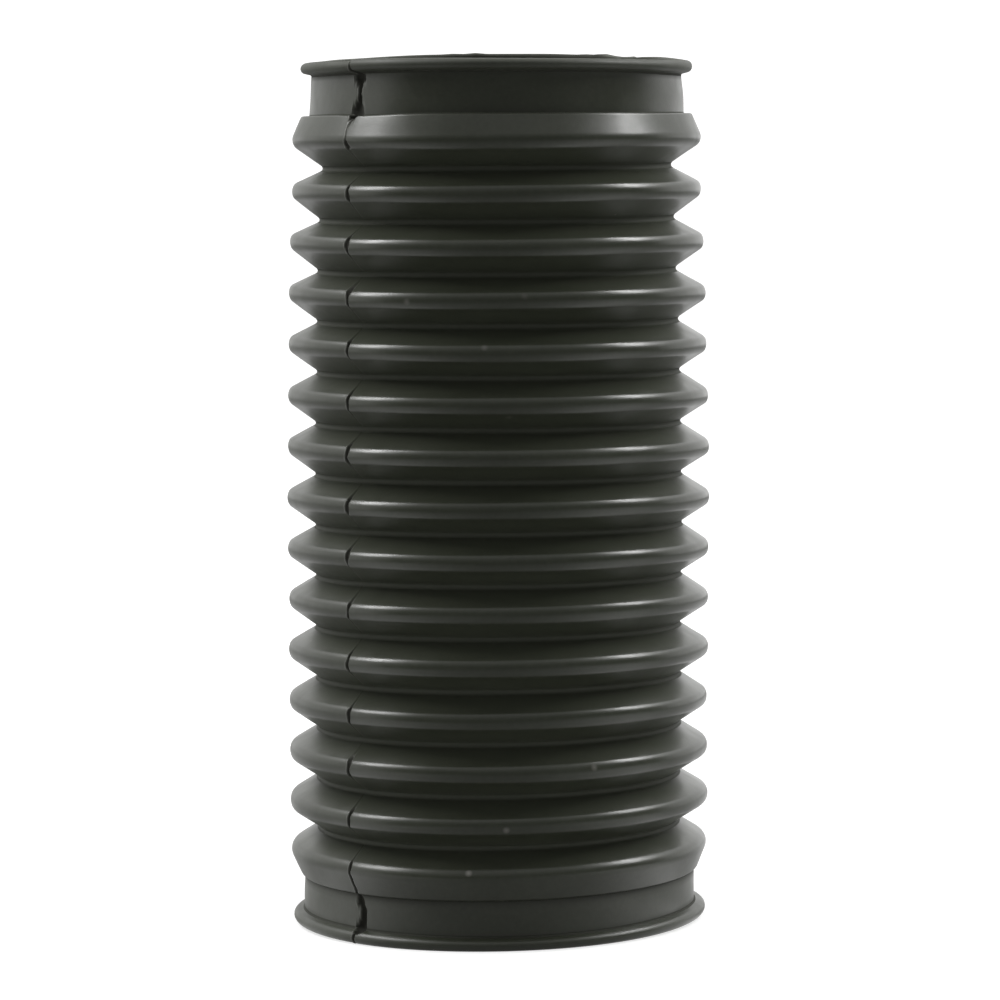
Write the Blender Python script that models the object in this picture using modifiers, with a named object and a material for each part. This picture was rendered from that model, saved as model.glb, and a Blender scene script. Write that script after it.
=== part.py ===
"""Steering rack boot, moulded in one piece.

A rubber bellows with a clamp collar at each end. The large collar stands on
z = 0 and the small collar is at the top. Everything is a turned shape about Z,
so the whole boot is one closed section, swept round the axis.

The section is drawn as two lines that run down the boot, one for the outside
and one for the inside. Each line is a chain of rounded bends joined by straight
flanks that touch them. All lengths are metres.
"""

import math
from collections import namedtuple

import bpy

# Folds
FOLD_COUNT = 15
FOLD_PITCH = 0.00911
FOLD_DEPTH = 0.0051
FOLD_WALL = 0.0013
CREST_ROUND = 0.00195
VALLEY_ROUND = 0.00055
WIDEST_CREST_RADIUS = 0.03805
SWELL_POWER = 1.3

# Both collars
COLLAR_WALL = 0.0021
LIP_REACH = 0.0020
LIP_THICKNESS = 0.0026
LIP_ROUND = 0.00105
LIP_ROOT_ROUND = 0.0003
RIM_ROUND = 0.0005
SEAT_FOOT_ROUND = 0.0004
SHOULDER_ROUND = 0.0005
SHOULDER_WALL = 0.0018
BORE_FOOT_ROUND = 0.0008
INNER_CORNER_ROUND = 0.0003

# Small collar, at the top
SMALL_BORE_RADIUS = 0.0310
SMALL_SEAT_WIDTH = 0.0070
SMALL_SEAT_DRAFT = 0.0004
SMALL_SHOULDER_STEP = 0.0016
SMALL_SHOULDER_LENGTH = 0.0042
SMALL_CREST_REACH = 0.00155

# Large collar, at the bottom
LARGE_BORE_RADIUS = 0.0331
LARGE_SEAT_WIDTH = 0.0063
LARGE_SEAT_DRAFT = 0.0
LARGE_SHOULDER_STEP = 0.00075
LARGE_SHOULDER_LENGTH = 0.0045
LARGE_CREST_REACH = 0.0016

# How finely the round forms are divided
TURN_STEPS = 30
CREST_PIECES = 3
VALLEY_PIECES = 1
INNER_CREST_PIECES = 1
INNER_VALLEY_PIECES = 2
LIP_PIECES = 4
CORNER_PIECES = 1

RUBBER_COLOUR = (0.017, 0.017, 0.014, 1.0)
RUBBER_ROUGHNESS = 0.45

# A bend's round is positive where it bulges away from the axis and negative
# where it bulges towards it. Its pieces are the straight pieces of its arc.
Bend = namedtuple("Bend", "radius height round pieces")

Collar = namedtuple("Collar", "bore seat_width draft step shoulder_length crest_reach")

SMALL_COLLAR = Collar(SMALL_BORE_RADIUS, SMALL_SEAT_WIDTH, SMALL_SEAT_DRAFT,
                      SMALL_SHOULDER_STEP, SMALL_SHOULDER_LENGTH, SMALL_CREST_REACH)
LARGE_COLLAR = Collar(LARGE_BORE_RADIUS, LARGE_SEAT_WIDTH, LARGE_SEAT_DRAFT,
                      LARGE_SHOULDER_STEP, LARGE_SHOULDER_LENGTH, LARGE_CREST_REACH)


def shoulder_depth(collar):
    """Distance from a collar's end face to its shoulder."""
    return LIP_THICKNESS + collar.seat_width


def end_crest_depth(collar):
    """Distance from a collar's end face to the nearest fold crest."""
    return shoulder_depth(collar) + collar.shoulder_length


def shoulder_radius(collar):
    return collar.bore + COLLAR_WALL + collar.draft + collar.step


def end_crest_radius(collar):
    return shoulder_radius(collar) + collar.crest_reach


BOTTOM_CREST_HEIGHT = end_crest_depth(LARGE_COLLAR)
TOP_CREST_HEIGHT = BOTTOM_CREST_HEIGHT + (FOLD_COUNT - 1) * FOLD_PITCH
BOOT_HEIGHT = TOP_CREST_HEIGHT + end_crest_depth(SMALL_COLLAR)


def crest_height(index):
    """Height of a crest, counted down from the small collar."""
    return TOP_CREST_HEIGHT - index * FOLD_PITCH


def crest_radius(index):
    """The crests swell gently from each collar to the middle of the boot."""
    middle = (FOLD_COUNT - 1) / 2
    end = end_crest_radius(SMALL_COLLAR if index < middle else LARGE_COLLAR)
    share = (abs(index - middle) / middle) ** SWELL_POWER
    return WIDEST_CREST_RADIUS - (WIDEST_CREST_RADIUS - end) * share


def valley_radius(index):
    """Radius of the valley just below a crest."""
    return (crest_radius(index) + crest_radius(index + 1)) / 2 - FOLD_DEPTH


def fold_bends(wall, crest_pieces, valley_pieces):
    """Bends of the folds, top to bottom, at a depth of wall under the outside."""
    crest_round = max(CREST_ROUND - wall, INNER_CORNER_ROUND)
    valley_round = VALLEY_ROUND + wall
    bends = []
    for index in range(FOLD_COUNT):
        centre = crest_radius(index) - wall - crest_round
        bends.append(Bend(centre, crest_height(index), crest_round, crest_pieces))
        if index < FOLD_COUNT - 1:
            centre = valley_radius(index) - wall + valley_round
            height = crest_height(index) - FOLD_PITCH / 2
            bends.append(Bend(centre, height, -valley_round, valley_pieces))
    return bends


def collar_outside(collar):
    """Bends from the lip to the shoulder, with heights counted from the end face."""
    seat = collar.bore + COLLAR_WALL
    shoulder = shoulder_depth(collar)
    return [
        Bend(seat + LIP_REACH - LIP_ROUND, LIP_ROUND, LIP_ROUND, LIP_PIECES),
        Bend(seat + LIP_ROOT_ROUND, LIP_THICKNESS, -LIP_ROOT_ROUND, CORNER_PIECES),
        Bend(seat + collar.draft + SEAT_FOOT_ROUND, shoulder - SEAT_FOOT_ROUND,
             -SEAT_FOOT_ROUND, CORNER_PIECES),
        Bend(shoulder_radius(collar) - SHOULDER_ROUND, shoulder + SHOULDER_ROUND,
             SHOULDER_ROUND, CORNER_PIECES),
    ]


def collar_inside(collar):
    """Bends from the rim of the bore to the hollow under the shoulder."""
    ceiling = shoulder_depth(collar) + SHOULDER_WALL
    return [
        Bend(collar.bore + RIM_ROUND, RIM_ROUND, -RIM_ROUND, CORNER_PIECES),
        Bend(collar.bore + BORE_FOOT_ROUND, ceiling - BORE_FOOT_ROUND,
             -BORE_FOOT_ROUND, CORNER_PIECES),
        Bend(shoulder_radius(collar) - SHOULDER_WALL - INNER_CORNER_ROUND,
             ceiling + INNER_CORNER_ROUND, INNER_CORNER_ROUND, CORNER_PIECES),
    ]


def at_top(bends):
    return [bend._replace(height=BOOT_HEIGHT - bend.height) for bend in bends]


def at_bottom(bends):
    return list(reversed(bends))


def flank_angle(upper, lower):
    """Direction that the flank between two bends faces, up from the horizontal."""
    across = upper.radius - lower.radius
    down = upper.height - lower.height
    distance = math.hypot(across, down)
    return math.atan2(down, across) - math.acos((lower.round - upper.round) / distance)


def trace(bends, first_angle, last_angle):
    """Points of a line through the bends, from top to bottom."""
    flanks = [flank_angle(upper, lower) for upper, lower in zip(bends, bends[1:])]
    starts = [first_angle] + flanks
    ends = flanks + [last_angle]
    points = []
    for bend, start, end in zip(bends, starts, ends):
        for step in range(bend.pieces + 1):
            angle = start + (end - start) * step / bend.pieces
            points.append((bend.radius + bend.round * math.cos(angle),
                           bend.height + bend.round * math.sin(angle)))
    return points


def boot_section():
    """The closed section: down the outside, then up the inside."""
    outside = (at_top(collar_outside(SMALL_COLLAR))
               + fold_bends(0.0, CREST_PIECES, VALLEY_PIECES)
               + at_bottom(collar_outside(LARGE_COLLAR)))
    inside = (at_top(collar_inside(SMALL_COLLAR))
              + fold_bends(FOLD_WALL, INNER_CREST_PIECES, INNER_VALLEY_PIECES)
              + at_bottom(collar_inside(LARGE_COLLAR)))
    quarter_turn = math.pi / 2
    down = trace(outside, quarter_turn, -quarter_turn)
    up = reversed(trace(inside, -quarter_turn, quarter_turn))
    return down + list(up)


def rubber_material():
    material = bpy.data.materials.new("moulded_rubber")
    material.use_nodes = True
    shader = material.node_tree.nodes["Principled BSDF"]
    shader.inputs["Base Color"].default_value = RUBBER_COLOUR
    shader.inputs["Roughness"].default_value = RUBBER_ROUGHNESS
    shader.inputs["Metallic"].default_value = 0.0
    return material


def turned(name, section, collection):
    """A solid made by turning a closed section about Z."""
    mesh = bpy.data.meshes.new(name)
    corners = [(radius, 0.0, height) for radius, height in section]
    edges = [(index, (index + 1) % len(corners)) for index in range(len(corners))]
    mesh.from_pydata(corners, edges, [])
    solid = bpy.data.objects.new(name, mesh)
    collection.objects.link(solid)
    screw = solid.modifiers.new("turn", "SCREW")
    screw.axis = "Z"
    screw.angle = 2 * math.pi
    screw.steps = TURN_STEPS
    screw.render_steps = TURN_STEPS
    screw.use_smooth_shade = True
    return solid


def main():
    for old in list(bpy.data.objects):
        bpy.data.objects.remove(old, do_unlink=True)
    parts = bpy.data.collections.new("steering_rack_boot")
    bpy.context.scene.collection.children.link(parts)
    boot = turned("rack_boot", boot_section(), parts)
    boot.data.materials.append(rubber_material())


main()
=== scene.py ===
"""Looks of the steering rack boot.

The moulded boot is built here again with finer round forms than the frame's solid, with its
mould parting line, the gentle bow that it stands in, and the finish of the rubber, into whose
colour shade is painted in the grooves, creases and under the large shoulder, fill light in the
valleys and a highlight on the parting line's flash. All lengths are metres, in the frame's own
axes: the large collar stands on z = 0 and the camera looks along +Y.
"""

import math
from collections import namedtuple

import bpy
import numpy as np
from mathutils import Matrix, Quaternion, Vector

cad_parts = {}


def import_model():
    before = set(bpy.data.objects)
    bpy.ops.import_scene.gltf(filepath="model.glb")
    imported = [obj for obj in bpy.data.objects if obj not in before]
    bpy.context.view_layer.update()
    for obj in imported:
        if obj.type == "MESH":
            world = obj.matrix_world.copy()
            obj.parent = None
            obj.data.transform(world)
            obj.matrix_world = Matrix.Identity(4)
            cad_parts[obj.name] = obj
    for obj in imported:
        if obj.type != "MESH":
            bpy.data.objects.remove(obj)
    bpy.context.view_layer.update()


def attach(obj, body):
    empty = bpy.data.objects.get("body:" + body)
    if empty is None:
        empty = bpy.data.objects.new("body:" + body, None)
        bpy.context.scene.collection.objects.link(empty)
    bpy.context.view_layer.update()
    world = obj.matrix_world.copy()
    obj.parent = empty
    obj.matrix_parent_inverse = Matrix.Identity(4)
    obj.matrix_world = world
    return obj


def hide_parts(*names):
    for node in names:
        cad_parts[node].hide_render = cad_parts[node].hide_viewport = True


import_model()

MM = 0.001

# The section of the boot, as in the frame's solid
FOLD_COUNT = 15
FOLD_PITCH = 9.11 * MM
FOLD_DEPTH = 5.1 * MM
FOLD_WALL = 1.3 * MM
CREST_ROUND = 1.95 * MM
VALLEY_ROUND = 0.55 * MM
WIDEST_CREST_RADIUS = 38.05 * MM
SWELL_POWER = 1.3

COLLAR_WALL = 2.1 * MM
LIP_REACH = 2.0 * MM
LIP_THICKNESS = 2.6 * MM
LIP_ROUND = 1.05 * MM
LIP_ROOT_ROUND = 0.3 * MM
RIM_ROUND = 0.5 * MM
SEAT_FOOT_ROUND = 0.12 * MM
SHOULDER_ROUND = 0.5 * MM
SHOULDER_WALL = 1.8 * MM
BORE_FOOT_ROUND = 0.8 * MM
INNER_CORNER_ROUND = 0.3 * MM

Bend = namedtuple("Bend", "radius height round")
Collar = namedtuple("Collar", "bore seat_width draft step shoulder_length crest_reach")

SMALL_COLLAR = Collar(31.0 * MM, 7.0 * MM, 0.4 * MM, 1.6 * MM, 4.2 * MM, 1.55 * MM)
LARGE_COLLAR = Collar(33.1 * MM, 6.3 * MM, 0.0, 0.75 * MM, 4.5 * MM, 1.6 * MM)

# Small corrections to single folds, counted down from the small collar
CREST_TRIM = {1: 0.30 * MM, 5: 0.08 * MM, 7: 0.12 * MM, 8: 0.08 * MM, 9: 0.26 * MM, 11: 0.2 * MM}
VALLEY_DEEPENED = {0: 0.42 * MM, 1: 0.18 * MM}
VALLEY_LOWERED = {0: 0.35 * MM, 1: 0.3 * MM, 2: 0.25 * MM, 3: 0.1 * MM}

# A crest's middle is flatter than its two edges
CREST_FLAT_ROUND = 2.45 * MM
CREST_EDGE_ROUND = 1.34 * MM
CREST_FLAT_ANGLE = math.radians(20)

# How finely the round forms are divided
ARC_STEP = 0.38 * MM
INNER_ARC_STEP = 1.3 * MM
FLANK_STEP = 1.9 * MM
COLLAR_STEP = 0.85 * MM
FLANK_END = 0.1 * MM
LEAST_ARC_PIECES = 3
SAME_POINT = 0.01 * MM
SHORTEST_FLANK = 0.4 * MM
TURN_STEP = math.radians(3.6)
SEAM_STEP = math.radians(0.16)
BACK_SEAM_STEP = math.radians(0.24)
SEAM_BAND = math.radians(3.36)

# The two mould halves meet at this direction and at the opposite one
SEAM_ANGLE = math.radians(-134.2)


def shoulder_depth(collar):
    return LIP_THICKNESS + collar.seat_width


def end_crest_depth(collar):
    return shoulder_depth(collar) + collar.shoulder_length


def shoulder_radius(collar):
    return collar.bore + COLLAR_WALL + collar.draft + collar.step


def end_crest_radius(collar):
    return shoulder_radius(collar) + collar.crest_reach


BOTTOM_CREST_HEIGHT = end_crest_depth(LARGE_COLLAR)
TOP_CREST_HEIGHT = BOTTOM_CREST_HEIGHT + (FOLD_COUNT - 1) * FOLD_PITCH
BOOT_HEIGHT = TOP_CREST_HEIGHT + end_crest_depth(SMALL_COLLAR)


def crest_height(index):
    return TOP_CREST_HEIGHT - index * FOLD_PITCH


def crest_radius(index):
    middle = (FOLD_COUNT - 1) / 2
    end = end_crest_radius(SMALL_COLLAR if index < middle else LARGE_COLLAR)
    share = (abs(index - middle) / middle) ** SWELL_POWER
    return WIDEST_CREST_RADIUS - (WIDEST_CREST_RADIUS - end) * share


def valley_radius(index):
    return (crest_radius(index) + crest_radius(index + 1)) / 2 - FOLD_DEPTH


def flattened_crest(tip, height):
    """Three bends, top to bottom, that touch each other: edge, middle and edge."""
    middle = tip - CREST_FLAT_ROUND
    reach = CREST_FLAT_ROUND - CREST_EDGE_ROUND
    across = reach * math.cos(CREST_FLAT_ANGLE)
    up = reach * math.sin(CREST_FLAT_ANGLE)
    return [Bend(middle + across, height + up, CREST_EDGE_ROUND),
            Bend(middle, height, CREST_FLAT_ROUND),
            Bend(middle + across, height - up, CREST_EDGE_ROUND)]


def fold_bends(wall):
    crest_round = max(CREST_ROUND - wall, INNER_CORNER_ROUND)
    valley_round = VALLEY_ROUND + wall
    bends = []
    for index in range(FOLD_COUNT):
        tip = crest_radius(index) - wall - CREST_TRIM.get(index, 0.0)
        if wall == 0 and 0 < index < FOLD_COUNT - 1:
            bends.extend(flattened_crest(tip, crest_height(index)))
        else:
            bends.append(Bend(tip - crest_round, crest_height(index), crest_round))
        if index < FOLD_COUNT - 1:
            centre = valley_radius(index) - wall + valley_round
            centre -= VALLEY_DEEPENED.get(index, 0.0)
            height = crest_height(index) - FOLD_PITCH / 2 - VALLEY_LOWERED.get(index, 0.0)
            bends.append(Bend(centre, height, -valley_round))
    return bends


def collar_outside(collar):
    seat = collar.bore + COLLAR_WALL
    shoulder = shoulder_depth(collar)
    return [
        Bend(seat + LIP_REACH - LIP_ROUND, LIP_ROUND, LIP_ROUND),
        Bend(seat + LIP_ROOT_ROUND, LIP_THICKNESS, -LIP_ROOT_ROUND),
        Bend(seat + collar.draft + SEAT_FOOT_ROUND, shoulder - SEAT_FOOT_ROUND,
             -SEAT_FOOT_ROUND),
        Bend(shoulder_radius(collar) - SHOULDER_ROUND, shoulder + SHOULDER_ROUND,
             SHOULDER_ROUND),
    ]


def collar_inside(collar):
    ceiling = shoulder_depth(collar) + SHOULDER_WALL
    return [
        Bend(collar.bore + RIM_ROUND, RIM_ROUND, -RIM_ROUND),
        Bend(collar.bore + BORE_FOOT_ROUND, ceiling - BORE_FOOT_ROUND, -BORE_FOOT_ROUND),
        Bend(shoulder_radius(collar) - SHOULDER_WALL - INNER_CORNER_ROUND,
             ceiling + INNER_CORNER_ROUND, INNER_CORNER_ROUND),
    ]


def at_top(bends):
    return [bend._replace(height=BOOT_HEIGHT - bend.height) for bend in bends]


def at_bottom(bends):
    return list(reversed(bends))


def flank_angle(upper, lower):
    """Direction that the flank between two bends faces, up from the horizontal."""
    across = upper.radius - lower.radius
    down = upper.height - lower.height
    share = (lower.round - upper.round) / math.hypot(across, down)
    return math.atan2(down, across) - math.acos(min(max(share, -1.0), 1.0))


def trace(bends, first_angle, last_angle, arc_step, on_flanks):
    """Points of a line through the bends, top to bottom.

    Each row holds the radius, the height, the way it faces, and 1 where the line is hollow.
    """
    flanks = [flank_angle(upper, lower) for upper, lower in zip(bends, bends[1:])]
    starts = [first_angle] + flanks
    ends = flanks + [last_angle]
    points = []
    for bend, start, end in zip(bends, starts, ends):
        pieces = max(LEAST_ARC_PIECES, math.ceil(abs((end - start) * bend.round) / arc_step))
        for step in range(pieces + 1):
            angle = start + (end - start) * step / pieces
            facing = np.array([math.cos(angle), math.sin(angle)])
            point = np.array([bend.radius, bend.height]) + bend.round * facing
            if step == 0 and points:
                length = float(np.linalg.norm(point - points[-1][:2]))
                if length < SAME_POINT:
                    continue
                if on_flanks and length > SHORTEST_FLANK:
                    add_between(points, point, facing, length)
            hollow = 1.0 if bend.round < 0 else 0.0
            points.append(np.concatenate([point, facing, [hollow]]))
    return points


def add_between(points, target, facing, length):
    """Adds points on the straight stretch from the last point to the target."""
    last = points[-1][:2]
    upright = abs(facing[1]) < 0.5
    pieces = max(1, round(length / (COLLAR_STEP if upright else FLANK_STEP)))
    places = np.linspace(FLANK_END, length - FLANK_END, pieces + 1) / length
    for place in places:
        points.append(np.concatenate([last + (target - last) * place, facing, [0.0]]))


def boot_section():
    """The closed section, down the outside and up the inside, and how many points are outside."""
    outside = (at_top(collar_outside(SMALL_COLLAR)) + fold_bends(0.0)
               + at_bottom(collar_outside(LARGE_COLLAR)))
    inside = (at_top(collar_inside(SMALL_COLLAR)) + fold_bends(FOLD_WALL)
              + at_bottom(collar_inside(LARGE_COLLAR)))
    quarter_turn = math.pi / 2
    down = trace(outside, quarter_turn, -quarter_turn, ARC_STEP, True)
    up = trace(inside, -quarter_turn, quarter_turn, INNER_ARC_STEP, False)[::-1]
    return np.array(down + up), len(down)


def turn_angles():
    """Directions of the section round the boot, closer together at the two seams."""
    angles = []
    for start, step in ((SEAM_ANGLE, SEAM_STEP), (SEAM_ANGLE + math.pi, BACK_SEAM_STEP)):
        angles.extend(np.arange(start - SEAM_BAND, start + SEAM_BAND - 1e-9, step))
        rest_steps = round((math.pi - 2 * SEAM_BAND) / TURN_STEP)
        rest = np.linspace(start + SEAM_BAND, start + math.pi - SEAM_BAND, rest_steps + 1)
        angles.extend(rest[:-1])
    return np.array(angles)


def curve(places, knots):
    """Values on a smooth curve through the (place, value) knots."""
    knot_places, knot_values = np.array(knots).T
    slopes = np.gradient(knot_values, knot_places)
    slot = np.clip(np.searchsorted(knot_places, places) - 1, 0, len(knots) - 2)
    length = knot_places[slot + 1] - knot_places[slot]
    share = np.clip((places - knot_places[slot]) / length, 0.0, 1.0)
    back = 1 - share
    return (knot_values[slot] * back * back * (1 + 2 * share)
            + knot_values[slot + 1] * share * share * (1 + 2 * back)
            + slopes[slot] * length * share * back * back
            - slopes[slot + 1] * length * share * share * back)


def smooth(values):
    """Values below 0 become 0, those above 1 become 1, and the way between is eased."""
    share = np.clip(values, 0.0, 1.0)
    return share * share * (3 - 2 * share)


# How the soft boot stands. By height in mm: how far each ring leans back and to the right, in
# degrees, how far its centre lies to the right, and how far it has settled, in mm.
LEAN_BACK = [(0, -0.1), (13, -0.5), (23, -0.4), (41, 0.45), (57, 1.15), (86, 1.2), (104, 0.85),
             (131, 0.5), (136, 0.6), (141, 0.8), (145.5, 1.25), (150.5, 0.5), (155, -0.7)]
LEAN_RIGHT = [(0, -0.1), (13, -0.1), (40, 0.3), (60, 0.5), (95, 0.72), (122, 0.6),
              (138, 0.46), (141, 0.46), (145.5, 0.6), (151, 0.6), (155, 0.6)]
SHIFT_RIGHT = [(0, 0.0), (14, 0.14), (32, 0.38), (50, 0.66), (69, 1.0), (87, 1.3), (105, 1.53),
               (123, 1.66), (141, 1.98), (155, 2.2)]
SETTLING = [(0, 0.0), (13, 0.0), (23, 0.25), (41, 0.6), (59, 0.8), (86, 0.9), (105, 0.72),
            (123, 0.53), (141, 0.24), (145.5, 0.2), (155, 0.1)]
BOW_STEPS = 400


def bow(points):
    """Leans every ring of the boot about its own centre and carries the centres along."""
    levels = np.linspace(0.0, BOOT_HEIGHT, BOW_STEPS)
    slope_y = np.tan(np.radians(curve(levels / MM, LEAN_BACK)))
    step = levels[1] - levels[0]
    shift_y = np.concatenate([[0.0], np.cumsum((slope_y[1:] + slope_y[:-1]) / 2)]) * step
    height = points[..., 2]
    lean_x = np.tan(np.radians(curve(height / MM, LEAN_RIGHT)))
    lean_y = np.interp(height, levels, slope_y)
    bowed = points.copy()
    bowed[..., 2] -= points[..., 0] * lean_x + points[..., 1] * lean_y
    bowed[..., 2] -= curve(height / MM, SETTLING) * MM
    bowed[..., 0] += curve(height / MM, SHIFT_RIGHT) * MM
    bowed[..., 1] += np.interp(height, levels, shift_y)
    return bowed


# The top lip is not flat: by direction, it rises at the front and the back. Both lips' bends
# fade out along the collars.
TOP_LIP_LIFT = 0.56 * MM
TOP_LIP_TILT = -0.14 * MM
TOP_LIP_ROLL = -0.19 * MM
TOP_LIP_WAVE = 0.53 * MM
TOP_LIP_RIPPLE = -0.10 * MM
TOP_LIP_BACK_DIP = 0.17 * MM
BACK_DIP_TO_LEFT = 1.3
BACK_DIP_EDGE = 3.0
TOP_LIP_FADE = 5.0 * MM
BOTTOM_LIP_RISE = 0.42 * MM
BOTTOM_LIP_FADE = 12.0 * MM


def warp_lips(points):
    """Bends the two lips out of flat, as soft rubber stands."""
    across = np.arctan2(points[..., 0], -points[..., 1])
    height = points[..., 2].copy()
    fade_from = BOOT_HEIGHT - LIP_THICKNESS - TOP_LIP_FADE
    at_top_lip = smooth((height - fade_from) / TOP_LIP_FADE)
    at_bottom_lip = smooth(1 - (height - LIP_THICKNESS) / BOTTOM_LIP_FADE)
    lift = (TOP_LIP_LIFT + TOP_LIP_TILT * np.cos(across) + TOP_LIP_ROLL * np.sin(across)
            + TOP_LIP_WAVE * np.cos(2 * across) + TOP_LIP_RIPPLE * np.cos(4 * across))
    back = np.clip(-np.cos(across) * BACK_DIP_EDGE, 0.0, 1.0)
    back_dip = (1 - BACK_DIP_TO_LEFT * np.sin(across)) * np.sin(2 * across) ** 2 * back
    lift -= TOP_LIP_BACK_DIP * back_dip
    points[..., 2] += at_top_lip * lift
    points[..., 2] += at_bottom_lip * BOTTOM_LIP_RISE * np.sin(across) ** 2


# The parting line, by height in mm: its direction left of the front in degrees, how far its
# groove spreads to the left and to the right of it, and its depth, in mm.
TOP_SEAM = [
    (139.6, 45.6, 0.70, 0.70, 0.36), (140.7, 45.6, 0.42, 0.42, 0.26),
    (141.2, 45.8, 0.14, 0.14, 0.08), (142.8, 46.6, 0.08, 0.08, 0.05),
    (143.9, 46.3, 0.08, 0.20, 0.08), (144.3, 46.1, 0.12, 0.80, 0.26),
    (145.1, 46.0, 0.60, 1.50, 0.45), (145.5, 46.2, 2.00, 2.00, 0.50),
    (147.2, 45.8, 0.75, 0.75, 0.45), (148.9, 45.6, 0.22, 0.22, 0.28),
    (150.4, 45.8, 0.90, 0.85, 0.48), (151.8, 46.0, 2.00, 2.10, 0.50),
    (152.3, 46.6, 0.45, 0.45, 0.26), (152.8, 47.2, 0.22, 0.22, 0.12),
    (155.0, 47.3, 0.14, 0.14, 0.08),
]
BOTTOM_SEAM = [
    (-1.0, 44.0, 0.28, 0.28, 0.20), (1.75, 44.0, 0.28, 0.28, 0.20),
    (2.05, 43.6, 0.80, 1.10, 0.40),
    (2.55, 43.2, 1.70, 1.10, 0.48), (3.4, 43.1, 1.15, 0.95, 0.48),
    (4.3, 43.0, 0.65, 0.85, 0.48), (6.2, 43.1, 0.62, 0.85, 0.46),
    (6.9, 43.7, 1.05, 1.05, 0.46), (8.2, 44.0, 0.75, 0.95, 0.40),
    (8.8, 44.3, 0.42, 0.42, 0.30), (9.3, 44.4, 0.24, 0.24, 0.24),
    (11.0, 44.7, 0.26, 0.26, 0.24), (12.6, 44.6, 0.24, 0.24, 0.22),
    (13.4, 44.5, 0.22, 0.22, 0.22),
]
CREST_SEAM_ANGLE = [(13.4, 44.5), (40, 44.3), (77, 44.2), (113, 44.4), (132, 45.1), (141, 46.0)]
VALLEY_SEAM_TURN = 2.1
# Spread and depth of the groove on the crests and on the flanks, in mm
CREST_SEAM = (0.30, 0.32)
FLANK_SEAM = (0.12, 0.03)
# On the collars the groove is this many times as deep
COLLAR_SEAM_DEPTH = 1.6
# A notch opens between these shares of the way from valley to crest
NOTCH_FROM = 0.70
NOTCH_TO = 0.92
# The groove is uneven along its way, and wanders to the sides: each wave by size, how quickly
# it runs with the height, and where it starts
NOTCH_WAVES = [(0.35, 0.83, 0.0), (0.35, 2.3, 1.0)]
WANDER_EVERYWHERE = (0.10, 1.37, 0.0)
WANDER_ON_CRESTS = (0.07, 3.1, 2.0)
LEAST_FLASH = 0.12
FLASH_HEIGHT = 0.11 * MM
FLASH_WIDTH = 0.13 * MM
# The flash's painted highlight is strongest on the upper shoulder, between these heights in mm
SHOULDER_FLASH_FROM = 141.2
SHOULDER_FLASH_TO = 145.2
# How strong the flash's painted highlight is on the crests
CREST_FLASH_HIGHLIGHT = 0.35
# By height in mm: how far the left mould half stands above the right one, in mm
HALF_STEP = [(0, 0.05), (13, 0.1), (138, 0.1), (146, 0.0), (150, -0.1), (155, -0.3)]
STEP_WIDTH = 0.12 * MM
# The parting line's groove gets its full painted shade from this depth on
GROOVE_FULL_SHADE_DEPTH = 0.3 * MM
SHADE_REACH = 1.5 * MM
COLLAR_FADE = 0.8 * MM
LIP_FADE = 0.4 * MM


def crest_share(section):
    """How far a point of the section lies out of its valley, 1 at a crest."""
    heights = [crest_height(index) for index in range(FOLD_COUNT)][::-1]
    radii = [crest_radius(index) for index in range(FOLD_COUNT)][::-1]
    outermost = np.interp(section[:, 1], heights, radii)
    share = np.clip(1 - (outermost - section[:, 0]) / FOLD_DEPTH, 0.0, 1.0)
    return np.where(collar_share(section) > 0.0, 1.0, share)


def collar_share(section):
    """1 on the collars beyond the first and the last crest."""
    past = np.maximum(section[:, 1] - TOP_CREST_HEIGHT, BOTTOM_CREST_HEIGHT - section[:, 1])
    return np.clip(past / COLLAR_FADE, 0.0, 1.0)


def lip_share(section):
    """1 on the two end lips, 0 from the clamp seats inwards."""
    from_end = np.minimum(section[:, 1], BOOT_HEIGHT - section[:, 1])
    return np.clip((LIP_THICKNESS + LIP_FADE - from_end) / LIP_FADE, 0.0, 1.0)


def shade_share(section):
    """1 just under the large collar's shoulder, fading down the clamp seat: where its shadow is
    painted.
    """
    below = shoulder_depth(LARGE_COLLAR) - section[:, 1]
    return np.where(below > 0.0, np.clip(1 - below / SHADE_REACH, 0.0, 1.0), 0.0)


Seam = namedtuple("Seam", "direction left right depth wander flash")


def wave(height, size, speed, start):
    return size * np.sin(height * speed + start)


def seam_path(section):
    """The parting line's direction, left and right spread, depth, wander and flash."""
    height = section[:, 1] / MM
    share = crest_share(section)
    crest_angle = curve(height, CREST_SEAM_ANGLE)
    angle = crest_angle + VALLEY_SEAM_TURN * (1 - share)
    notch = smooth((share - NOTCH_FROM) / (NOTCH_TO - NOTCH_FROM))
    spread = FLANK_SEAM[0] + (CREST_SEAM[0] - FLANK_SEAM[0]) * notch
    for size, speed, start in NOTCH_WAVES:
        spread = spread * (1 + wave(height, size, speed, start))
    depth = FLANK_SEAM[1] + (CREST_SEAM[1] - FLANK_SEAM[1]) * notch
    rows = [angle, spread, spread, depth]
    flash = LEAST_FLASH + (1 - LEAST_FLASH) * notch
    depth_share = np.where(collar_share(section) > 0.5, COLLAR_SEAM_DEPTH, 1.0)
    for zone in (TOP_SEAM, BOTTOM_SEAM):
        table = np.array(zone)
        inside_zone = (height >= table[0, 0]) & (height <= table[-1, 0])
        for column in range(4):
            wanted = np.interp(height, table[:, 0], table[:, column + 1])
            rows[column] = np.where(inside_zone, wanted, rows[column])
    rows[3] = rows[3] * depth_share
    wander = wave(height, *WANDER_EVERYWHERE) + wave(height, *WANDER_ON_CRESTS) * share
    return Seam(np.radians(-90 - rows[0]), rows[1] * MM, rows[2] * MM, rows[3] * MM,
                wander * MM, flash)


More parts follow.
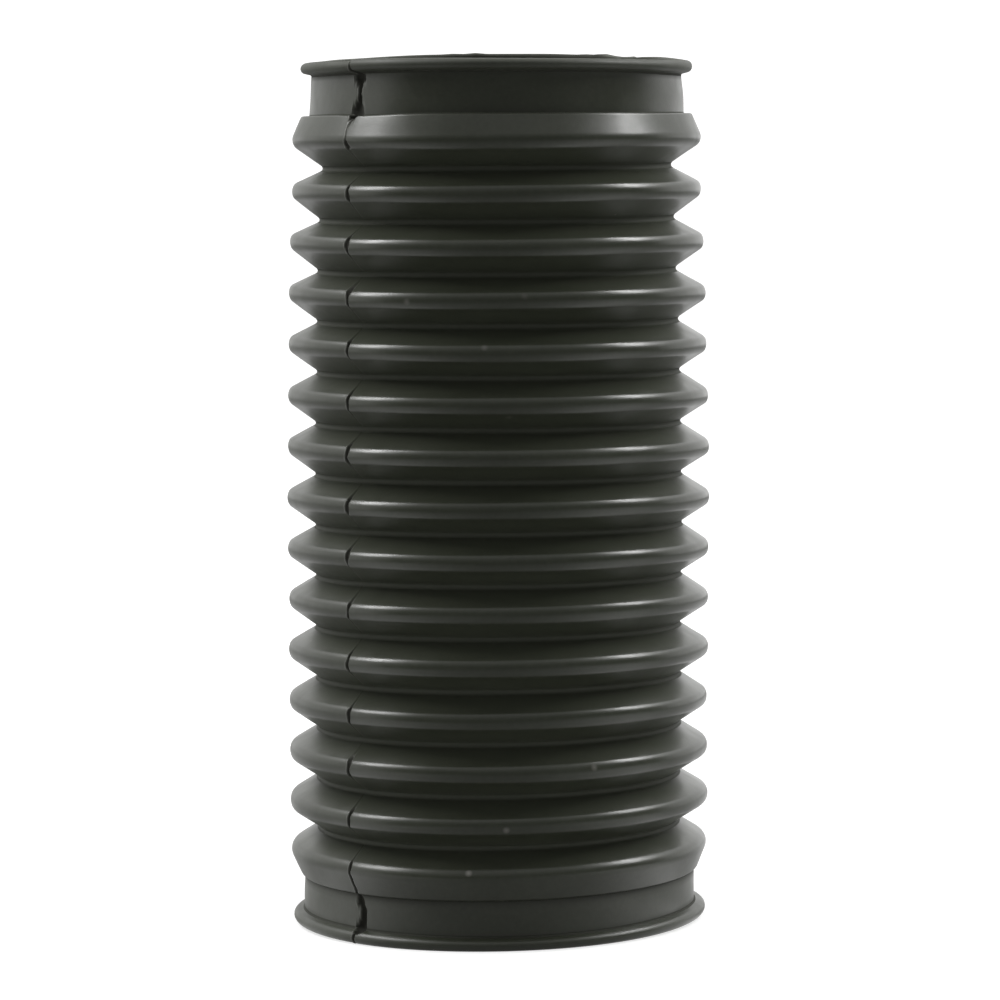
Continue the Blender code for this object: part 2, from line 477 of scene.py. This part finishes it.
def flash_highlight_share(section):
    """How strongly a highlight is painted on the flash beside the parting line: most on the upper
    shoulder.
    """
    height = section[:, 1] / MM
    on_shoulder = (height > SHOULDER_FLASH_FROM) & (height < SHOULDER_FLASH_TO)
    return np.where(on_shoulder, 1.0, CREST_FLASH_HIGHLIGHT * crest_share(section) ** 4)


def seam_relief(section, angles, seam):
    """Shares of the groove and of the flash's painted highlight, and how far the flash stands
    out.
    """
    shape = (len(angles), len(section))
    groove = np.zeros(shape)
    raised = np.zeros(shape)
    flash_highlight = np.zeros(shape)
    highlight_strength = flash_highlight_share(section)
    for direction in (SEAM_ANGLE, SEAM_ANGLE + math.pi):
        apart = (angles - direction + math.pi) % (2 * math.pi) - math.pi
        along = apart[:, None] * section[:, 0] - seam.wander
        spread = np.where(along < 0, seam.left, seam.right)
        groove = np.maximum(groove, np.clip(1 - (np.abs(along) / spread) ** 2, 0.0, 1.0))
        ridge = np.exp(-((along + seam.left + FLASH_WIDTH) / FLASH_WIDTH) ** 2)
        raised += ridge * FLASH_HEIGHT * seam.flash
        flash_highlight = np.maximum(flash_highlight, ridge * highlight_strength)
    return groove, flash_highlight, raised


def boot():
    """The moulded boot. Its grid has a row for each turn angle and a column for each point."""
    section, outside_count = boot_section()
    angles = turn_angles()
    shape = (len(angles), len(section))
    outside = np.arange(len(section)) < outside_count
    seam = seam_path(section)
    groove, flash_highlight, raised = seam_relief(section, angles, seam)
    groove = groove * outside
    offset = raised * outside - groove * seam.depth
    radius = section[:, 0] + offset * section[:, 2]
    height = section[:, 1] + offset * section[:, 3]
    left_half = half_share(angles, section, seam.wander)
    height = height + left_half * curve(section[:, 1] / MM, HALF_STEP) * crest_share(section) * MM
    turn = angles[:, None] + seam.direction - SEAM_ANGLE
    radius, height = uneven(radius, height, turn, section, outside)
    points = np.stack([radius * np.cos(turn), radius * np.sin(turn), height], axis=-1)
    warp_lips(points)
    mesh = ring_mesh("moulded_boot", bow(points))
    shares = {
        # Painted shade in the parting line's groove, darker where the groove is deeper
        "groove": groove * np.clip(seam.depth / GROOVE_FULL_SHADE_DEPTH, 0.0, 1.0) ** 2,
        # Painted highlight on the flash beside the parting line
        "flash": flash_highlight * outside,
        "left_half": left_half * outside,
        "crest": crest_share(section) * outside,
        "collar": collar_share(section),
        "lip": lip_share(section),
        "top_lip": lip_share(section) * (section[:, 1] > BOOT_HEIGHT / 2),
        # Painted shadow under the large collar's shoulder
        "shade": shade_share(section),
        "hollow": section[:, 4],
    }
    for name, values in shares.items():
        add_attribute(mesh, name, np.broadcast_to(values, shape))
    piece = bpy.data.objects.new("moulded_boot", mesh)
    bpy.context.scene.collection.objects.link(piece)
    mesh.materials.append(rubber())
    return piece


def half_share(angles, section, wander):
    """1 on the mould half left of the parting line, 0 on the other, with a sharp step between."""
    turned = ((angles - SEAM_ANGLE) % (2 * math.pi))[:, None]
    past_first = turned * section[:, 0] - wander
    to_opposite = (math.pi - turned) * section[:, 0] + wander
    to_first = (2 * math.pi - turned) * section[:, 0] + wander
    nearest = np.minimum(np.minimum(past_first, to_first), np.abs(to_opposite))
    inward = np.where(turned > math.pi, nearest, -nearest)
    return np.clip(0.5 + inward / (2 * STEP_WIDTH), 0.0, 1.0)


# Waves round each ring: how many, how they shift with the height, and how strong they are
WAVE_SIZE = 0.06 * MM
RADIUS_WAVES = [(2, 0.35, 1.0), (3, -0.5, 0.6), (5, 0.9, 0.5)]
HEIGHT_WAVE = (3, 0.7, 1.0)
RIM_REACH = 1.2 * MM
# Flash and dips on the rim at the back: direction and width in degrees, and height in mm
RIM_FLASH = [(40, 6.5, -0.40), (54, 2.6, 0.30), (60, 1.5, 0.14), (72, 8.0, 0.07), (97, 2.5, 0.20),
             (100, 14.0, -0.08), (104, 1.2, 0.10), (148, 8.0, 0.08)]
# The upper shoulder's edge dips at one place: direction and width in degrees, and depth
SHOULDER_DIP_AT = -131.0
SHOULDER_DIP_WIDTH = 13.0
SHOULDER_DIP = 0.22 * MM
SHOULDER_DIP_REACH = 1.6 * MM


def uneven(radius, height, turn, section, outside):
    """Small departures from true round, fold by fold, and a ragged rim at the back."""
    level = section[:, 1] / MM
    for waves, shift, strength in RADIUS_WAVES:
        radius = radius + strength * WAVE_SIZE * np.sin(waves * turn + shift * level)
    waves, shift, strength = HEIGHT_WAVE
    height = height + strength * WAVE_SIZE * np.sin(waves * turn + shift * level)
    above = BOOT_HEIGHT - section[:, 1]
    at_rim = np.clip(1 - above / RIM_REACH, 0.0, 1.0)
    for direction, width, size in RIM_FLASH:
        apart = (np.degrees(turn) - direction + 180) % 360 - 180
        height = height + at_rim * size * MM * np.exp(-(apart / width) ** 2)
    from_edge = np.abs(above - shoulder_depth(SMALL_COLLAR))
    at_edge = np.clip(1 - from_edge / SHOULDER_DIP_REACH, 0.0, 1.0) * outside
    apart = (np.degrees(turn) - SHOULDER_DIP_AT) / SHOULDER_DIP_WIDTH
    height = height - at_edge * SHOULDER_DIP * np.exp(-apart ** 2)
    return radius, height


def ring_mesh(name, grid):
    """A closed mesh from a grid of points, [turn][section], that wraps both ways."""
    turns, count, _ = grid.shape
    turn = np.arange(turns)[:, None]
    place = np.arange(count)[None, :]
    next_turn = (turn + 1) % turns
    next_place = (place + 1) % count
    faces = np.stack([turn * count + place, turn * count + next_place,
                      next_turn * count + next_place, next_turn * count + place], axis=-1)
    mesh = bpy.data.meshes.new(name)
    mesh.from_pydata(grid.reshape(-1, 3).tolist(), [], faces.reshape(-1, 4).tolist())
    mesh.shade_smooth()
    return mesh


def add_attribute(mesh, name, values):
    layer = mesh.attributes.new(name, "FLOAT", "POINT")
    layer.data.foreach_set("value", np.ascontiguousarray(values, dtype=np.float32).ravel())


RUBBER_DARK = (0.0255, 0.0290, 0.0182, 1.0)
RUBBER_PALE = (0.0375, 0.0418, 0.0285, 1.0)
# Paler colour in the valleys: painted fill light where the folds shade them
VALLEY_PAINTED_LIGHT = (0.062, 0.068, 0.049, 1.0)
# Painted shade, used in the parting line's groove, in the lips' creases and under the large
# collar's shoulder
PAINTED_SHADE_COLOUR = (0.017, 0.0175, 0.012, 1.0)
DUST_COLOUR = (0.15, 0.145, 0.13, 1.0)
# Painted highlight on the flash beside the parting line
FLASH_HIGHLIGHT_COLOUR = (0.17, 0.17, 0.155, 1.0)
SPECK_COLOUR = (0.21, 0.205, 0.185, 1.0)
RIGHT_ROUGHNESS = 0.31
LEFT_ROUGHNESS = 0.40
COLLAR_DULLNESS = 0.03
LIP_DULLNESS = 0.06
TOP_LIP_DULLNESS = 0.16
SHADE_ROUGHNESS = 0.75
VALLEY_ROUGHNESS = 0.7
CREASE_ROUGHNESS = 0.85
GROOVE_ROUGHNESS = 0.9
# How strongly shade is painted into the lips' creases and under the large collar's shoulder
CREASE_PAINTED_SHADE = 0.6
SHADE_DARKNESS = 0.7
BLOTCH_SIZE = 14 * MM
MOTTLE_SIZE = 0.9 * MM
PATCH_SIZE = 5 * MM
PATCH_ROUGHNESS = (-0.035, 0.045)
FINE_GRAIN = 0.3 * MM
COARSE_GRAIN = 2.6 * MM
COARSE_GRAIN_SHARE = 0.5
GRAIN_STRENGTH = 0.35
GRAIN_HEIGHT = 0.03 * MM


def remap(tree, source, low, high, to_low=0.0, to_high=1.0):
    """Carries low to to_low and high to to_high, and holds those values beyond."""
    node = tree.nodes.new("ShaderNodeMapRange")
    node.inputs["From Min"].default_value = low
    node.inputs["From Max"].default_value = high
    node.inputs["To Min"].default_value = to_low
    node.inputs["To Max"].default_value = to_high
    tree.links.new(source, node.inputs["Value"])
    return node.outputs["Result"]


class Nodes:
    """Short ways to add and join the nodes of one material."""

    def __init__(self, material):
        material.use_nodes = True
        self.tree = material.node_tree
        self.shader = self.tree.nodes["Principled BSDF"]
        self.place = self.tree.nodes.new("ShaderNodeTexCoord").outputs["Object"]

    def add(self, kind):
        return self.tree.nodes.new(kind)

    def join(self, source, socket):
        self.tree.links.new(source, socket)

    def noise(self, size, detail=3.0):
        """Noise whose spots are about as large as size."""
        node = self.add("ShaderNodeTexNoise")
        node.inputs["Scale"].default_value = 1.0 / size
        node.inputs["Detail"].default_value = detail
        self.join(self.place, node.inputs["Vector"])
        return node.outputs["Fac"]

    def remap(self, source, low, high, to_low=0.0, to_high=1.0):
        return remap(self.tree, source, low, high, to_low, to_high)

    def math(self, operation, first, second):
        node = self.add("ShaderNodeMath")
        node.operation = operation
        for socket, value in zip(node.inputs, (first, second)):
            if isinstance(value, (int, float)):
                socket.default_value = value
            else:
                self.join(value, socket)
        return node.outputs[0]

    def blend(self, share, first, second):
        """From the first colour to the second by share."""
        node = self.add("ShaderNodeMix")
        node.data_type = "RGBA"
        self.join(share, node.inputs["Factor"])
        for socket, value in ((node.inputs[6], first), (node.inputs[7], second)):
            if isinstance(value, tuple):
                socket.default_value = value
            else:
                self.join(value, socket)
        return node.outputs[2]

    def mix(self, share, first, second):
        """From the first number to the second by share."""
        node = self.add("ShaderNodeMix")
        self.join(share, node.inputs["Factor"])
        for socket, value in ((node.inputs[2], first), (node.inputs[3], second)):
            if isinstance(value, (int, float)):
                socket.default_value = value
            else:
                self.join(value, socket)
        return node.outputs[0]

    def attribute(self, name):
        node = self.add("ShaderNodeAttribute")
        node.attribute_name = name
        return node.outputs["Fac"]


def rubber():
    material = bpy.data.materials.new("black_rubber")
    nodes = Nodes(material)
    groove = nodes.attribute("groove")
    flash = nodes.attribute("flash")
    left_half = nodes.attribute("left_half")
    crest = nodes.attribute("crest")
    collar = nodes.attribute("collar")
    lip = nodes.attribute("lip")
    top_lip = nodes.attribute("top_lip")
    shade = nodes.attribute("shade")
    hollow = nodes.attribute("hollow")

    blotches = nodes.remap(nodes.noise(BLOTCH_SIZE, 5.0), 0.35, 0.68)
    mottle = nodes.remap(nodes.noise(MOTTLE_SIZE, 4.0), 0.3, 0.7)
    pale_share = nodes.math("MULTIPLY", nodes.math("ADD", blotches, mottle), 0.5)
    colour = nodes.blend(pale_share, RUBBER_DARK, RUBBER_PALE)
    # Paler in the valleys: painted fill light
    in_valley = nodes.remap(crest, 0.1, 0.9, 1.0, 0.0)
    colour = nodes.blend(in_valley, colour, VALLEY_PAINTED_LIGHT)
    colour = nodes.blend(dust(nodes), colour, DUST_COLOUR)
    colour = nodes.blend(specks(nodes), colour, SPECK_COLOUR)
    # Painted shade in the parting line's groove
    groove_shade = nodes.remap(groove, 0.05, 0.4)
    # Painted shade in the concave bends at the lips
    crease = nodes.math("MULTIPLY", hollow, lip)
    crease_shade = nodes.math("MULTIPLY", crease, CREASE_PAINTED_SHADE)
    colour = nodes.blend(crease_shade, colour, PAINTED_SHADE_COLOUR)
    # Painted shadow under the large collar's shoulder
    shade_darkness = nodes.math("MULTIPLY", shade, SHADE_DARKNESS)
    colour = nodes.blend(shade_darkness, colour, PAINTED_SHADE_COLOUR)
    colour = nodes.blend(groove_shade, colour, PAINTED_SHADE_COLOUR)
    # Painted highlight on the flash beside the parting line
    colour = nodes.blend(flash, colour, FLASH_HIGHLIGHT_COLOUR)
    nodes.join(colour, nodes.shader.inputs["Base Color"])

    roughness = nodes.mix(left_half, RIGHT_ROUGHNESS, LEFT_ROUGHNESS)
    patchy = nodes.remap(nodes.noise(PATCH_SIZE, 4.0), 0.3, 0.7, *PATCH_ROUGHNESS)
    roughness = nodes.math("ADD", roughness, patchy)
    for share, dullness in ((collar, COLLAR_DULLNESS), (lip, LIP_DULLNESS),
                            (top_lip, TOP_LIP_DULLNESS)):
        roughness = nodes.math("ADD", roughness, nodes.math("MULTIPLY", share, dullness))
    roughness = nodes.mix(shade, roughness, SHADE_ROUGHNESS)
    roughness = nodes.mix(hollow, roughness, VALLEY_ROUGHNESS)
    on_collar = nodes.math("MULTIPLY", hollow, collar)
    roughness = nodes.mix(on_collar, roughness, CREASE_ROUGHNESS)
    roughness = nodes.mix(groove_shade, roughness, GROOVE_ROUGHNESS)
    nodes.join(roughness, nodes.shader.inputs["Roughness"])

    fine = nodes.noise(FINE_GRAIN, 3.0)
    coarse = nodes.math("MULTIPLY", nodes.noise(COARSE_GRAIN, 2.0), COARSE_GRAIN_SHARE)
    surface = nodes.math("ADD", fine, coarse)
    bump = nodes.add("ShaderNodeBump")
    bump.inputs["Strength"].default_value = GRAIN_STRENGTH
    bump.inputs["Distance"].default_value = GRAIN_HEIGHT
    nodes.join(surface, bump.inputs["Height"])
    nodes.join(bump.outputs["Normal"], nodes.shader.inputs["Normal"])
    return material


DUST_CELL = 6 * MM
DUST_SIZE = 0.045
DUST_RARITY = 0.82


def dust(nodes):
    """Small pale specks, in a few cells of a scattered pattern."""
    cells = nodes.add("ShaderNodeTexVoronoi")
    cells.inputs["Scale"].default_value = 1.0 / DUST_CELL
    nodes.join(nodes.place, cells.inputs["Vector"])
    near = nodes.remap(cells.outputs["Distance"], DUST_SIZE * 0.5, DUST_SIZE, 1.0, 0.0)
    chosen = nodes.math("GREATER_THAN", cells.outputs["Color"], DUST_RARITY)
    return nodes.math("MULTIPLY", near, chosen)


# Single specks of dust at the front: where they lie, in mm, and how strongly they show
SPECKS = [(17.0, -33.9, 31.7, 0.65), (1.5, -37.6, 21.5, 0.65), (-5.2, -37.0, 14.0, 0.95),
          (6.3, -35.8, 114.1, 0.2), (-0.8, -36.1, 105.4, 0.45), (3.2, -35.4, 93.2, 0.25),
          (-14.1, -32.6, 113.4, 0.4)]
SPECK_REACH = 0.75 * MM


def specks(nodes):
    """How strongly any of the single specks shows at a place."""
    strongest = 0.0
    for across, along, height, strength in SPECKS:
        distance = nodes.add("ShaderNodeVectorMath")
        distance.operation = "DISTANCE"
        distance.inputs[1].default_value = (across * MM, along * MM, height * MM)
        nodes.join(nodes.place, distance.inputs[0])
        near = nodes.remap(distance.outputs["Value"], 0.0, SPECK_REACH, strength, 0.0)
        strongest = nodes.math("MAXIMUM", strongest, near)
    return strongest


# Camera
CAMERA_LENS = 182.3
CAMERA_HEIGHT = 156.5 * MM
CAMERA_DISTANCE = 908.4 * MM
CAMERA_SIDE = 1.42 * MM
CAMERA_PITCH = math.radians(5.078)
CAMERA_ROLL = math.radians(1.03)
SENSOR_WIDTH = 36.0


def camera():
    data = bpy.data.cameras.new("camera")
    data.lens = CAMERA_LENS
    data.sensor_width = SENSOR_WIDTH
    holder = bpy.data.objects.new("camera", data)
    bpy.context.scene.collection.objects.link(holder)
    level = Matrix.Rotation(math.pi / 2 - CAMERA_PITCH, 4, "X")
    roll = Matrix.Rotation(-CAMERA_ROLL, 4, "Z")
    place = Matrix.Translation((CAMERA_SIDE, -CAMERA_DISTANCE, CAMERA_HEIGHT))
    holder.matrix_world = place @ level @ roll
    bpy.context.scene.camera = holder


# Floor and backdrop
FLOOR_RADIUS = 1.6
FLOOR_COLOUR = (0.42, 0.42, 0.42, 1.0)
FLOOR_GLOW_NEAR = 0.70
FLOOR_GLOW_FAR = 1.0
FLOOR_FADE_FROM = 0.12
FLOOR_FADE_TO = 0.5
# What reflections show of the floor: by place from front (0) to back (1), and near to far
FLOOR_MIRROR = [(0.0, 0.19), (0.09, 0.34), (0.21, 0.66), (0.36, 0.86), (0.5, 0.42), (0.6, 0.42),
                (0.7, 0.5), (0.85, 0.72)]
FLOOR_MIRROR_NEAR = 1.75
FLOOR_MIRROR_FAR = 0.7
MIRROR_FADE_FROM = 0.22
MIRROR_FADE_TO = 0.7
FLOOR_STEPS = 96
BACKDROP_RADIUS = 1.55
BACKDROP_HEIGHT = 1.6
BACKDROP_RIGHT = math.radians(14)
BACKDROP_LEFT = math.radians(201)
BACKDROP_STEPS = 48
BACKDROP_MIRROR_LOW = 1.5
BACKDROP_MIRROR_HIGH = 1.25
BACKDROP_FADE_FROM = 0.1
BACKDROP_FADE_TO = 0.5


def either_ray(tree, first, second):
    """1 for rays of either kind."""
    rays = tree.nodes.new("ShaderNodeLightPath")
    either = tree.nodes.new("ShaderNodeMath")
    either.operation = "MAXIMUM"
    tree.links.new(rays.outputs[first], either.inputs[0])
    tree.links.new(rays.outputs[second], either.inputs[1])
    return either.outputs[0]


def distance_from_boot(tree):
    place = tree.nodes.new("ShaderNodeTexCoord")
    length = tree.nodes.new("ShaderNodeVectorMath")
    length.operation = "LENGTH"
    tree.links.new(place.outputs["Object"], length.inputs[0])
    return length.outputs["Value"]


def stage_material(name, colour, seen_glow, mirrored_glow):
    """A pale surface that glows to the camera, and shows a level of its own in reflections.

    Each glow is a number, or a function that adds nodes to the tree and returns their output.
    """
    material = bpy.data.materials.new(name)
    material.use_nodes = True
    tree = material.node_tree
    tree.nodes.clear()
    output = tree.nodes.new("ShaderNodeOutputMaterial")
    paint = tree.nodes.new("ShaderNodeBsdfDiffuse")
    paint.inputs["Color"].default_value = colour
    glow = tree.nodes.new("ShaderNodeEmission")
    mirrored = tree.nodes.new("ShaderNodeEmission")
    rays = tree.nodes.new("ShaderNodeLightPath")
    camera_share = tree.nodes.new("ShaderNodeMath")
    camera_share.operation = "MULTIPLY"
    tree.links.new(rays.outputs["Is Camera Ray"], camera_share.inputs[0])
    for level, socket in ((seen_glow, camera_share.inputs[1]),
                          (mirrored_glow, mirrored.inputs["Strength"])):
        if isinstance(level, float):
            socket.default_value = level
        else:
            tree.links.new(level(tree), socket)
    tree.links.new(camera_share.outputs[0], glow.inputs["Strength"])
    seen = tree.nodes.new("ShaderNodeAddShader")
    tree.links.new(paint.outputs[0], seen.inputs[0])
    tree.links.new(glow.outputs[0], seen.inputs[1])
    in_mirrors = either_ray(tree, "Is Glossy Ray", "Is Transmission Ray")
    both = tree.nodes.new("ShaderNodeMixShader")
    tree.links.new(in_mirrors, both.inputs["Fac"])
    tree.links.new(seen.outputs[0], both.inputs[1])
    tree.links.new(mirrored.outputs[0], both.inputs[2])
    tree.links.new(both.outputs[0], output.inputs["Surface"])
    return material


def floor_glow(tree):
    """Stronger with the distance from the boot, so that the far floor is plain white."""
    return remap(tree, distance_from_boot(tree), FLOOR_FADE_FROM, FLOOR_FADE_TO,
                 FLOOR_GLOW_NEAR, FLOOR_GLOW_FAR)


def floor_mirror(tree):
    """Dark in front of the boot and pale beside and behind it."""
    place = tree.nodes.new("ShaderNodeTexCoord")
    way = tree.nodes.new("ShaderNodeVectorMath")
    way.operation = "NORMALIZE"
    tree.links.new(place.outputs["Object"], way.inputs[0])
    parts = tree.nodes.new("ShaderNodeSeparateXYZ")
    tree.links.new(way.outputs["Vector"], parts.inputs[0])
    share = remap(tree, parts.outputs["Y"], -1.0, 1.0)
    ramp = tree.nodes.new("ShaderNodeValToRGB")
    stops = ramp.color_ramp.elements
    while len(stops) < len(FLOOR_MIRROR):
        stops.new(0.5)
    for stop, (position, level) in zip(stops, FLOOR_MIRROR):
        stop.position = position
        stop.color = (level, level, level, 1.0)
    tree.links.new(share, ramp.inputs["Fac"])
    fade = remap(tree, distance_from_boot(tree), MIRROR_FADE_FROM, MIRROR_FADE_TO,
                 FLOOR_MIRROR_NEAR, FLOOR_MIRROR_FAR)
    level = tree.nodes.new("ShaderNodeMath")
    level.operation = "MULTIPLY"
    tree.links.new(ramp.outputs["Color"], level.inputs[0])
    tree.links.new(fade, level.inputs[1])
    return level.outputs[0]


def floor():
    mesh = bpy.data.meshes.new("floor")
    turns = [2 * math.pi * step / FLOOR_STEPS for step in range(FLOOR_STEPS)]
    points = [(FLOOR_RADIUS * math.cos(turn), FLOOR_RADIUS * math.sin(turn), 0.0)
              for turn in turns]
    mesh.from_pydata(points, [], [list(range(FLOOR_STEPS))])
    piece = bpy.data.objects.new("floor", mesh)
    bpy.context.scene.collection.objects.link(piece)
    mesh.materials.append(stage_material("pale_floor", FLOOR_COLOUR, floor_glow, floor_mirror))


def backdrop_mirror(tree):
    """A little darker higher up."""
    place = tree.nodes.new("ShaderNodeTexCoord")
    parts = tree.nodes.new("ShaderNodeSeparateXYZ")
    tree.links.new(place.outputs["Object"], parts.inputs[0])
    return remap(tree, parts.outputs["Z"], BACKDROP_FADE_FROM, BACKDROP_FADE_TO,
                 BACKDROP_MIRROR_LOW, BACKDROP_MIRROR_HIGH)


def backdrop():
    mesh = bpy.data.meshes.new("backdrop")
    points = []
    for angle in np.linspace(BACKDROP_RIGHT, BACKDROP_LEFT, BACKDROP_STEPS + 1):
        for height in (0.0, BACKDROP_HEIGHT):
            points.append((BACKDROP_RADIUS * math.cos(angle),
                           BACKDROP_RADIUS * math.sin(angle), height))
    feet = range(0, 2 * BACKDROP_STEPS, 2)
    faces = [(foot, foot + 2, foot + 3, foot + 1) for foot in feet]
    mesh.from_pydata(points, [], faces)
    piece = bpy.data.objects.new("backdrop", mesh)
    bpy.context.scene.collection.objects.link(piece)
    mesh.materials.append(stage_material("pale_backdrop", FLOOR_COLOUR, 1.0, backdrop_mirror))


# Lights
LEFT_AZIMUTH = -98.5
RIGHT_AZIMUTH = 102.5
LEFT_ELEVATION = 49.0
RIGHT_ELEVATION = 43.5
SOFTBOX_ROLL = math.radians(47)
SOFTBOX_DISTANCE = 0.95
SOFTBOX_WIDTH = 0.16
SOFTBOX_HEIGHT = 0.62
LEFT_RADIANCE = 22.0
RIGHT_RADIANCE = 22.0
FRONT_LEVEL = 0.19
OVERHEAD_LEVEL = 0.85
OVERHEAD_FROM = 0.3
OVERHEAD_TO = 0.95


def softbox(name, azimuth, elevation, roll, radiance):
    """An area lamp aimed at the boot. Azimuth 0 is the camera's side, and 90 is the right."""
    data = bpy.data.lights.new(name, "AREA")
    data.shape = "RECTANGLE"
    data.size = SOFTBOX_WIDTH
    data.size_y = SOFTBOX_HEIGHT
    data.energy = radiance * math.pi * SOFTBOX_WIDTH * SOFTBOX_HEIGHT
    lamp = bpy.data.objects.new(name, data)
    bpy.context.scene.collection.objects.link(lamp)
    turn = math.radians(azimuth)
    rise = math.radians(elevation)
    way = Vector((math.sin(turn) * math.cos(rise), -math.cos(turn) * math.cos(rise),
                  math.sin(rise)))
    lamp.location = Vector((0.0, 0.0, BOOT_HEIGHT / 2)) + way * SOFTBOX_DISTANCE
    aimed = way.to_track_quat("Z", "Y") @ Quaternion((0.0, 0.0, 1.0), roll)
    lamp.rotation_euler = aimed.to_euler()


def world():
    """Dim at the horizon and brighter overhead, and plain white to the camera."""
    sky = bpy.data.worlds.new("studio")
    bpy.context.scene.world = sky
    sky.use_nodes = True
    tree = sky.node_tree
    tree.nodes.clear()
    output = tree.nodes.new("ShaderNodeOutputWorld")
    light = tree.nodes.new("ShaderNodeBackground")
    way = tree.nodes.new("ShaderNodeTexCoord")
    parts = tree.nodes.new("ShaderNodeSeparateXYZ")
    tree.links.new(way.outputs["Generated"], parts.inputs[0])
    level = remap(tree, parts.outputs["Z"], OVERHEAD_FROM, OVERHEAD_TO,
                  FRONT_LEVEL, OVERHEAD_LEVEL)
    tree.links.new(level, light.inputs["Strength"])
    seen = tree.nodes.new("ShaderNodeBackground")
    seen.inputs["Color"].default_value = (1.0, 1.0, 1.0, 1.0)
    looked_at = either_ray(tree, "Is Camera Ray", "Is Transmission Ray")
    mix = tree.nodes.new("ShaderNodeMixShader")
    tree.links.new(looked_at, mix.inputs["Fac"])
    tree.links.new(light.outputs[0], mix.inputs[1])
    tree.links.new(seen.outputs[0], mix.inputs[2])
    tree.links.new(mix.outputs[0], output.inputs["Surface"])


camera()
world()
floor()
backdrop()
softbox("left_softbox", LEFT_AZIMUTH, LEFT_ELEVATION, SOFTBOX_ROLL, LEFT_RADIANCE)
softbox("right_softbox", RIGHT_AZIMUTH, RIGHT_ELEVATION, -SOFTBOX_ROLL, RIGHT_RADIANCE)
piece = boot()
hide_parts("rack_boot")
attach(piece, "root")
bpy.context.scene.view_settings.view_transform = "Standard"
